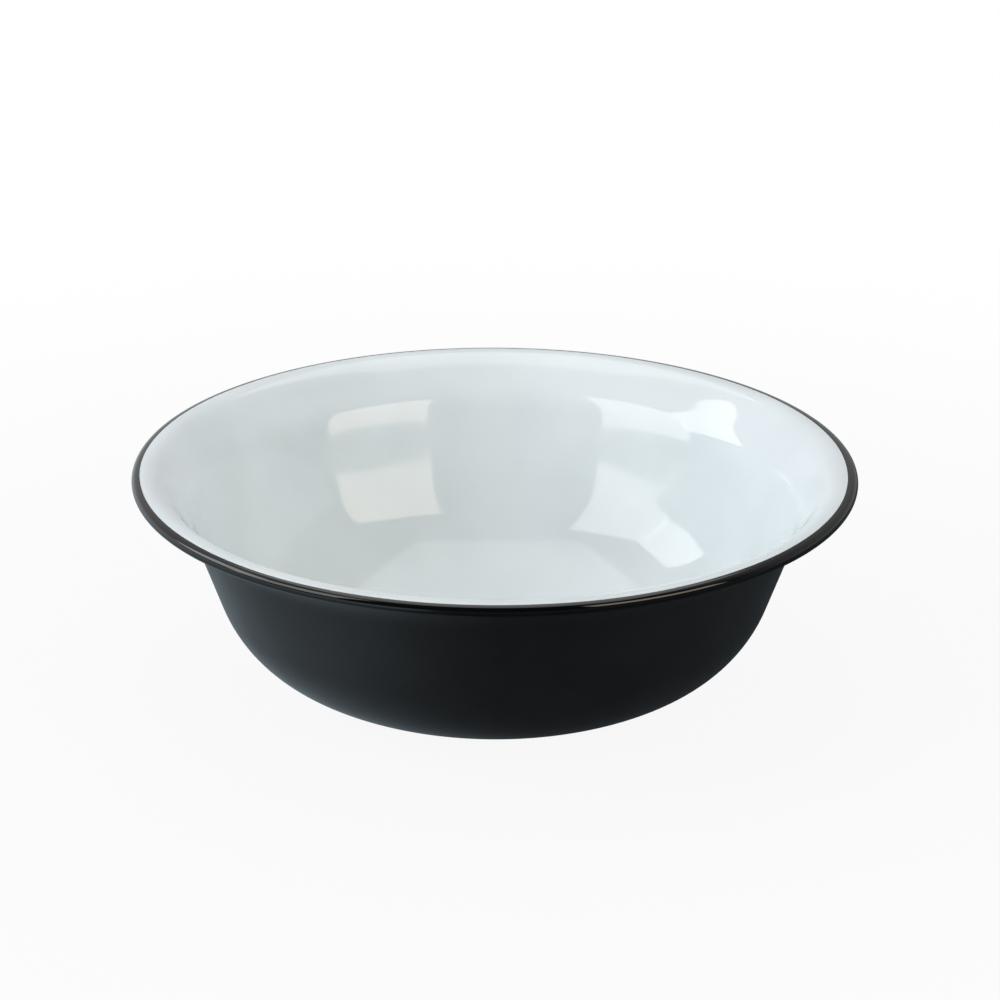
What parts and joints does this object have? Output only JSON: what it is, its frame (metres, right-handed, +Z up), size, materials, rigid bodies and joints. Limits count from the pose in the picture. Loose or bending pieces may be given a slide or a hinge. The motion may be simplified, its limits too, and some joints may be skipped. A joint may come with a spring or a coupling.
{
  "type": "bowl",
  "caption": "Round enamelled steel basin bowl, white inside and black outside, with a straight wall, a flared band, a rolled rim bead with black edging and a pushed-up base.",
  "frame": {"origin": "centre of the circle that the bowl stands on, at the level of the table", "axes": "+Z is up along the axis of the bowl; the bowl is round, so +X and +Y are any two level directions at right angles"},
  "size_m": [0.29, 0.29, 0.09],
  "materials": {
    "steel": "drawn low-carbon steel sheet, sealed under the enamel",
    "ground_enamel": "dark blue-black vitreous ground coat",
    "white_enamel": "gloss white vitreous enamel",
    "black_enamel": "gloss black vitreous enamel",
    "edging_enamel": "high-gloss black vitreous edging"
  },
  "bodies": {
    "root": {"steel_bowl": "steel", "ground_coat": "ground_enamel", "white_enamel_inside": "white_enamel", "black_enamel_outside": "black_enamel", "black_rim_edging": "edging_enamel"}
  },
  "joints": []
}
